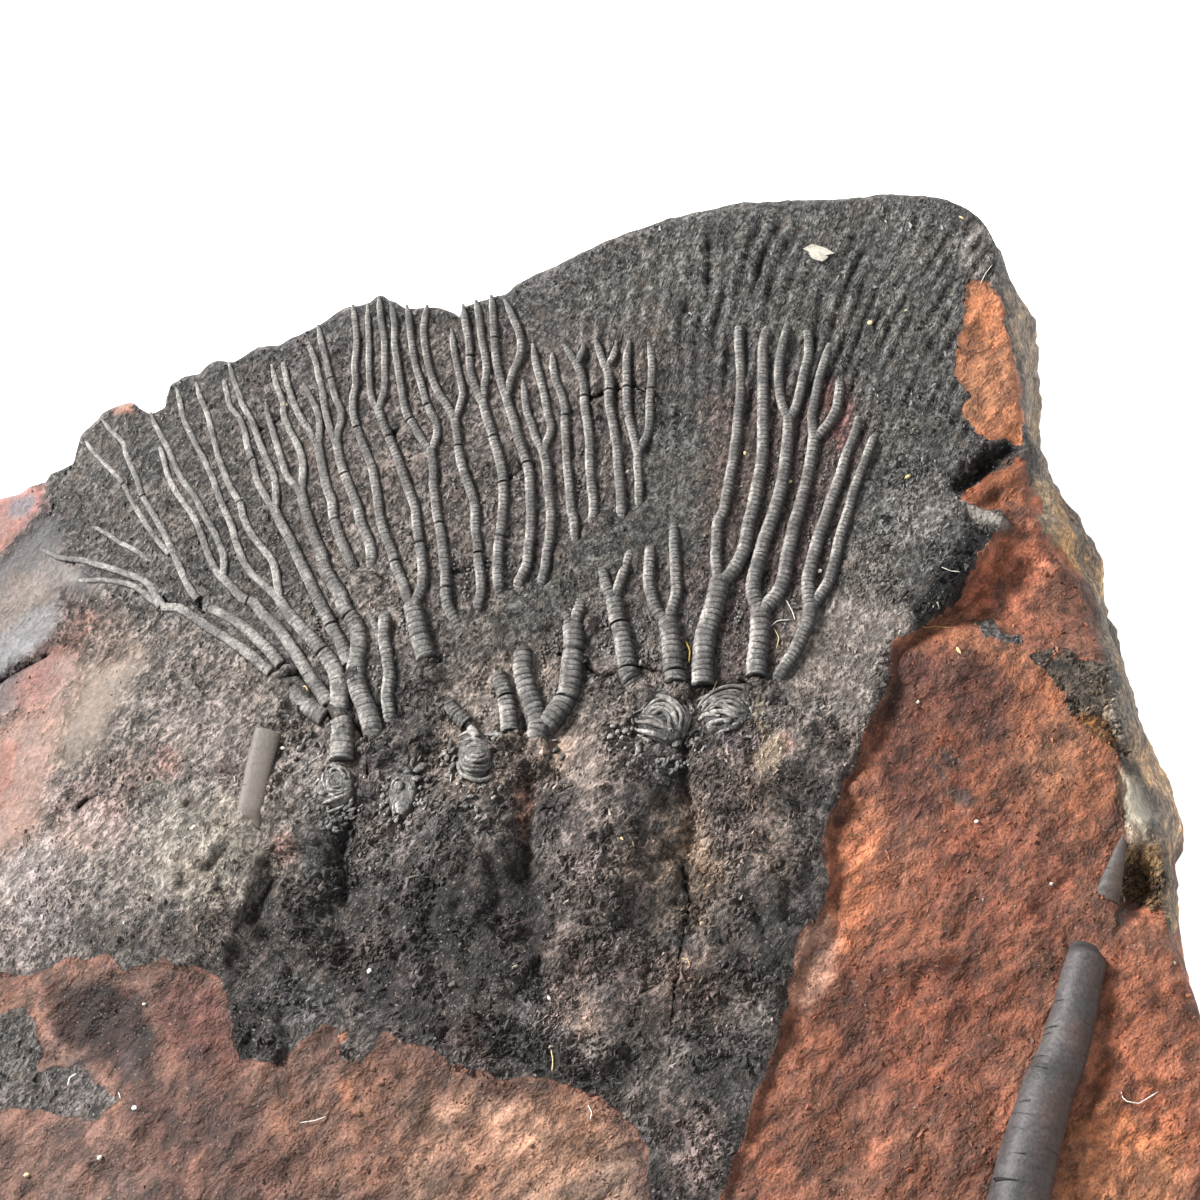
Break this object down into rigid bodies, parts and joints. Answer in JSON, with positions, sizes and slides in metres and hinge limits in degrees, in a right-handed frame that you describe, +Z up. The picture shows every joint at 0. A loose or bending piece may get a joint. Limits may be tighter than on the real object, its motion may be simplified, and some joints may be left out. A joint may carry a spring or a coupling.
{
  "type": "crinoid fossil",
  "caption": "Crinoid fossil: forked feathery arms and folded calyx plates in relief on a loose limestone slab, with lengths of round stem beside them.",
  "frame": {"origin": "centre of the flat underside's bounding box, on the surface the slab lies on", "axes": "+Z up out of the fossil face, +Y towards the arm tips (the back rim), +X towards the broken right wall"},
  "size_m": [0.2712, 0.2438, 0.0462],
  "materials": {
    "rock": "rough broken limestone, dark grey with red iron staining",
    "fossil": "pale grey calcite with a soft sheen",
    "stem": "smooth worn grey calcite"
  },
  "bodies": {
    "root": {"arm_01": "fossil", "arm_01_base": "fossil", "arm_02": "fossil", "arm_02_side": "fossil", "arm_03": "fossil", "arm_04": "fossil", "arm_05": "fossil", "arm_06": "fossil", "arm_07": "fossil", "arm_08": "fossil", "arm_09": "fossil", "arm_10": "fossil", "arm_11": "fossil", "arm_12": "fossil", "arm_13": "fossil", "arm_14": "fossil", "arm_15": "fossil", "arm_16": "fossil", "arm_17": "fossil", "arm_18": "fossil", "arm_19": "fossil", "arm_20": "fossil", "arm_21": "fossil", "arm_22": "fossil", "arm_23": "fossil", "arm_24": "fossil", "arm_25": "fossil", "arm_26": "fossil", "arm_27": "fossil", "matrix_slab": "rock", "plates_left": "fossil", "plates_middle": "fossil", "plates_right": "fossil", "plates_small": "fossil", "plates_swirl": "fossil", "stem_column": "stem", "stem_fragment": "stem", "stem_tip": "stem", "trunk_left": "fossil"}
  },
  "joints": []
}
